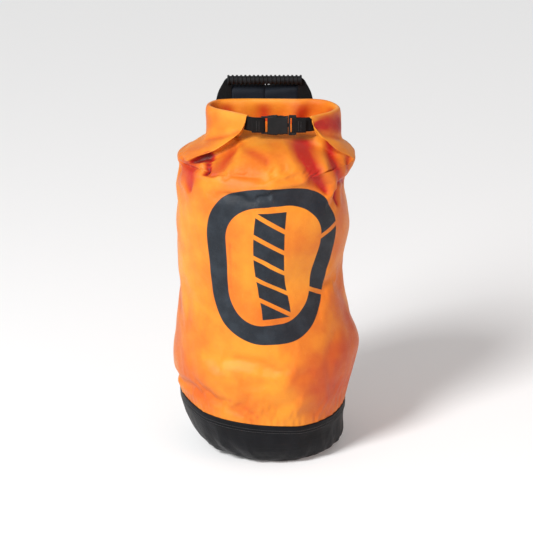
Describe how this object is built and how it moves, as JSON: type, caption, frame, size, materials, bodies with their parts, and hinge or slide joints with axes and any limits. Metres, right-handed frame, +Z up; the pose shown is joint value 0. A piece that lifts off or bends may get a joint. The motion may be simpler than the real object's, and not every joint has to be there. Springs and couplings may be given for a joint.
{
  "type": "roll-top rope storage bag",
  "caption": "Round roll-top rope bag standing packed: coated fabric body, dark base, rolled mouth closed by a side-release buckle, carrying handle and padded shoulder straps.",
  "frame": {"origin": "middle of the bag's base, on the surface that it stands on", "axes": "+Z up, the bag's length; the buckle and the bag's front face -Y; the handle and the shoulder straps are at +Y; +X is to the right as the front is looked at"},
  "size_m": [0.3361, 0.3316, 0.6868],
  "materials": {
    "orange_fabric": "satin coated woven polyester",
    "black_fabric": "satin coated woven nylon",
    "webbing": "matt polyester webbing",
    "buckle_plastic": "moulded acetal, fine texture",
    "grip_rubber": "ribbed, matt",
    "strap_fabric": "matt padded nylon",
    "stiffener": "plain"
  },
  "bodies": {
    "bag": {"main_panel": "orange_fabric", "base_wall": "black_fabric", "base_disc": "black_fabric", "throat_panel": "orange_fabric", "mouth_roll_left": "orange_fabric", "mouth_stiffener_left": "stiffener", "buckle_female": "buckle_plastic", "buckle_webbing_left": "webbing", "back_yoke": "black_fabric", "handle_tab_left": "webbing", "handle_tab_right": "webbing", "strap_top_left": "strap_fabric", "strap_top_right": "strap_fabric", "lower_webbing_left": "webbing", "lower_webbing_right": "webbing", "strap_anchor_left": "webbing", "strap_anchor_right": "webbing"},
    "roll_end": {"mouth_roll_right": "orange_fabric", "mouth_stiffener_right": "stiffener", "buckle_webbing_right": "webbing", "buckle_male": "buckle_plastic"},
    "prong_upper": {"buckle_prong_upper": "buckle_plastic"},
    "prong_lower": {"buckle_prong_lower": "buckle_plastic"},
    "carrying_handle": {"handle_webbing": "webbing", "handle_grip": "grip_rubber"},
    "shoulder_strap_left": {"strap_pad_left": "strap_fabric", "strap_loop_left": "webbing"},
    "strap_adjuster_left": {"ladder_lock_left": "buckle_plastic", "adjuster_tail_left": "webbing"},
    "shoulder_strap_right": {"strap_pad_right": "strap_fabric", "strap_loop_right": "webbing"},
    "strap_adjuster_right": {"ladder_lock_right": "buckle_plastic", "adjuster_tail_right": "webbing"}
  },
  "joints": [
    {"name": "buckle_release", "type": "slide", "parent": "bag", "child": "roll_end", "axis": [1, 0, 0], "range_m": [0, 0.034], "deforming": ["buckle_prong_upper", "buckle_prong_lower"]},
    {"name": "prong_upper_pinch", "type": "hinge", "parent": "roll_end", "child": "prong_upper", "pos_m": [0.0436, -0.062, 0.64], "axis": [0, -1, 0], "range_deg": [0, 15], "stiffness_Nm_per_rad": 0.5},
    {"name": "prong_lower_pinch", "type": "hinge", "parent": "roll_end", "child": "prong_lower", "pos_m": [0.0436, -0.062, 0.618], "axis": [0, 1, 0], "range_deg": [0, 15], "stiffness_Nm_per_rad": 0.5},
    {"name": "handle_swing", "type": "hinge", "parent": "bag", "child": "carrying_handle", "pos_m": [0.002, 0.0706, 0.612], "axis": [-1, 0, 0], "range_deg": [-4, 75], "stiffness_Nm_per_rad": 0.08},
    {"name": "strap_left_swing", "type": "hinge", "parent": "bag", "child": "shoulder_strap_left", "pos_m": [-0.028, 0.158, 0.553], "axis": [1, 0, 0], "range_deg": [0, 15], "deforming": ["lower_webbing_left"]},
    {"name": "adjuster_left_tilt", "type": "hinge", "parent": "shoulder_strap_left", "child": "strap_adjuster_left", "pos_m": [-0.1203, 0.162, 0.231], "axis": [0.9613, 0, -0.2756], "range_deg": [0, 25]},
    {"name": "strap_right_swing", "type": "hinge", "parent": "bag", "child": "shoulder_strap_right", "pos_m": [0.032, 0.158, 0.553], "axis": [1, 0, 0], "range_deg": [0, 15], "deforming": ["lower_webbing_right"]},
    {"name": "adjuster_right_tilt", "type": "hinge", "parent": "shoulder_strap_right", "child": "strap_adjuster_right", "pos_m": [0.1243, 0.162, 0.231], "axis": [0.9613, 0, 0.2756], "range_deg": [0, 25]}
  ],
  "couplings": [
    {"joint": "prong_lower_pinch", "follows": "prong_upper_pinch", "ratio": 1}
  ]
}
